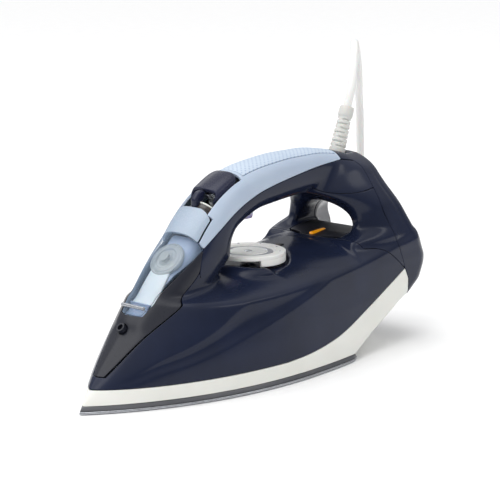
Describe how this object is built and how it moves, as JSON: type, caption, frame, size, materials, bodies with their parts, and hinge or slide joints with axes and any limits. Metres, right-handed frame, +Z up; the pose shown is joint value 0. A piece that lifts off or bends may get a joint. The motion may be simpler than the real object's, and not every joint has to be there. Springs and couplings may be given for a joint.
{
  "type": "steam iron",
  "caption": "Steam iron with hinged fill door, steam lever, spray button, steam trigger, heat dial, two-legged heel and mains lead.",
  "frame": {"origin": "centre of the iron's footprint, on the plane the sole rests on", "axes": "+X from the nose towards the heel, +Y towards the iron's right side as seen from above with the nose to the left, +Z up"},
  "size_m": [0.3657, 0.2599, 0.2271],
  "materials": {
    "sole_metal": "polished sole",
    "cast_metal": "dark coated casting",
    "element_metal": "heat-tinted",
    "screw_steel": "plain",
    "spring_steel": "drawn wire",
    "ceramic_white": "glazed ceramic",
    "inner_white": "plain moulding",
    "white_shell": "gloss",
    "navy_shell": "high gloss",
    "charcoal_shell": "gloss",
    "clear_blue": "tinted transparent",
    "clear_plug": "clear",
    "ice_blue": "satin",
    "drum_dark": "gloss",
    "silicone_red": "silicone",
    "button_navy": "satin",
    "pale_blue": "satin metallic",
    "grip_blue": "soft grip with raised dots",
    "lilac_trigger": "translucent",
    "dial_white": "satin",
    "pointer_black": "printed",
    "amber_lens": "translucent",
    "board_green": "circuit board",
    "wire_sleeve": "woven sleeve",
    "cord_white": "matt flexible",
    "tie_dark": "matt",
    "plug_white": "moulded",
    "pin_brass": "plated"
  },
  "bodies": {
    "iron": {"soleplate": "sole_metal", "heater_casting": "cast_metal", "heating_element": "element_metal", "steam_chamber_lid": "cast_metal", "casting_screws": "screw_steel", "thermostat": "ceramic_white", "thermal_fuse": "screw_steel", "heat_shield": "inner_white", "skirt": "white_shell", "water_tank": "navy_shell", "front_fascia": "charcoal_shell", "spray_nozzle": "charcoal_shell", "fill_well": "inner_white", "door_hinge_pin": "screw_steel", "steam_sleeve": "ice_blue", "drum_ring": "inner_white", "dosing_rod": "screw_steel", "dosing_valve": "silicone_red", "button_spring": "spring_steel", "spray_pump": "inner_white", "spray_tube": "inner_white", "boost_pump": "inner_white", "boost_tube": "inner_white", "handle_upper": "pale_blue", "grip_insert": "grip_blue", "handle_lower": "navy_shell", "trigger_spring": "spring_steel", "dial_pointer": "pointer_black", "rear_frame": "navy_shell", "deck_panel": "charcoal_shell", "lamp_lens": "amber_lens", "lamp_board": "board_green", "rear_cover": "navy_shell", "rear_screw": "screw_steel", "terminal_block": "ceramic_white", "inner_leads": "wire_sleeve", "cord_guard": "cord_white", "cord_clamp": "inner_white", "cord_lead": "cord_white", "cord_coil": "cord_white", "cord_tail": "cord_white", "cord_tie": "tie_dark", "plug_body": "plug_white", "plug_pins": "pin_brass"},
    "door": {"fill_door": "clear_blue", "fill_plug": "clear_plug"},
    "steam_wheel": {"steam_drum": "drum_dark", "steam_lever": "navy_shell"},
    "button": {"button_cap": "button_navy"},
    "trigger": {"steam_trigger": "lilac_trigger"},
    "dial": {"thermostat_dial": "dial_white", "dial_spindle": "screw_steel"}
  },
  "joints": [
    {"name": "door_hinge", "type": "hinge", "parent": "iron", "child": "door", "pos_m": [-0.112, 0, 0.0645], "axis": [0, -1, 0], "range_deg": [0, 70]},
    {"name": "steam_lever_turn", "type": "hinge", "parent": "iron", "child": "steam_wheel", "pos_m": [-0.0423, 0, 0.1162], "axis": [0.7314, 0, 0.682], "range_deg": [-35, 35]},
    {"name": "button_press", "type": "slide", "parent": "iron", "child": "button", "axis": [0.5878, 0, -0.809], "range_m": [0, 0.0025], "stiffness_N_per_m": 600, "springref_m": -0.001, "deforming": ["button_spring"]},
    {"name": "trigger_pull", "type": "slide", "parent": "iron", "child": "trigger", "axis": [0, 0, 1], "range_m": [0, 0.004], "stiffness_N_per_m": 600, "springref_m": -0.001, "deforming": ["trigger_spring"]},
    {"name": "dial_turn", "type": "hinge", "parent": "iron", "child": "dial", "pos_m": [0.004, 0, 0.08], "axis": [0, 0, 1], "range_deg": [-90, 180]}
  ]
}
